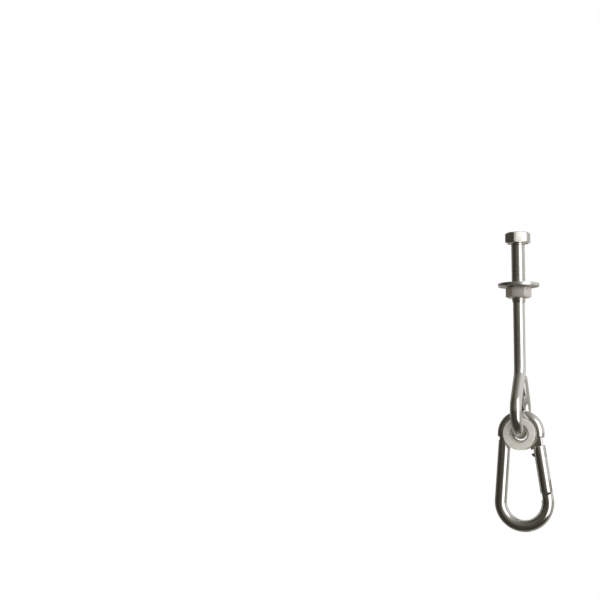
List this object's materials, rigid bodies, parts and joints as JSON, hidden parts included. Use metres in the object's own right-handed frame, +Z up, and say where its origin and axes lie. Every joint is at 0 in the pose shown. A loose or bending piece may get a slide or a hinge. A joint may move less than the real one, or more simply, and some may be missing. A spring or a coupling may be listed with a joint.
{
  "type": "hammock hook",
  "caption": "Through-bolted hammock hook: threaded eye bolt with nuts and a washer, and a spring-gate snap hook that swings on a grooved nylon bush in the eye.",
  "frame": {"origin": "on the bolt's axis, level with the washer's upper face, where the underside of a beam lies", "axes": "+Z up along the bolt, the hook's plane in XZ with the gate on the +X side, and the eye's plane in YZ"},
  "size_m": [0.0344, 0.032, 0.1738],
  "materials": {
    "bolt_steel": "polished stainless",
    "nut_steel": "machined stainless",
    "washer_steel": "stamped stainless",
    "hook_steel": "polished stainless",
    "pin_steel": "plain stainless",
    "spring_steel": "drawn wire",
    "nylon": "natural moulded nylon"
  },
  "bodies": {
    "bolt": {"eye_bolt": "bolt_steel"},
    "top_nut": {"top_nut": "nut_steel"},
    "washer": {"washer": "washer_steel"},
    "lower_nut": {"lower_nut": "nut_steel"},
    "bush": {"bush": "nylon"},
    "hook": {"hook_body": "hook_steel", "gate_hinge_pin": "pin_steel"},
    "gate": {"gate": "hook_steel", "gate_latch_pin": "pin_steel", "gate_spring": "spring_steel"},
    "plunger": {"gate_plunger": "pin_steel"}
  },
  "joints": [
    {"name": "top_nut_off", "type": "slide", "parent": "bolt", "child": "top_nut", "axis": [0, 0, 1], "range_m": [0, 0.008]},
    {"name": "washer_slide", "type": "slide", "parent": "bolt", "child": "washer", "axis": [0, 0, 1], "range_m": [-0.0015, 0.0231]},
    {"name": "lower_nut_turn", "type": "hinge", "parent": "washer", "child": "lower_nut", "pos_m": [0, 0, -0.00525], "axis": [0, 0, 1], "range_deg": [-432, 6624]},
    {"name": "bush_rock", "type": "hinge", "parent": "bolt", "child": "bush", "pos_m": [0, 0, -0.0746], "axis": [1, 0, 0], "range_deg": [-60, 60]},
    {"name": "hook_swing", "type": "hinge", "parent": "bush", "child": "hook", "pos_m": [0, 0, -0.08748], "axis": [0, 1, 0], "range_deg": [-90, 90]},
    {"name": "gate_open", "type": "hinge", "parent": "hook", "child": "gate", "pos_m": [0.01383, 0, -0.1181], "axis": [0, -1, 0], "range_deg": [0, 28], "stiffness_Nm_per_rad": 0.15, "springref_deg": -28.65},
    {"name": "plunger_press", "type": "slide", "parent": "gate", "child": "plunger", "axis": [-0.1448, 0, 0.9895], "range_m": [0, 0.0012], "deforming": ["gate_spring"]}
  ],
  "couplings": [
    {"joint": "washer_slide", "follows": "lower_nut_turn", "m_per_rad": 0.00019894},
    {"joint": "plunger_press", "follows": "gate_open", "m_per_rad": 0.00231}
  ]
}
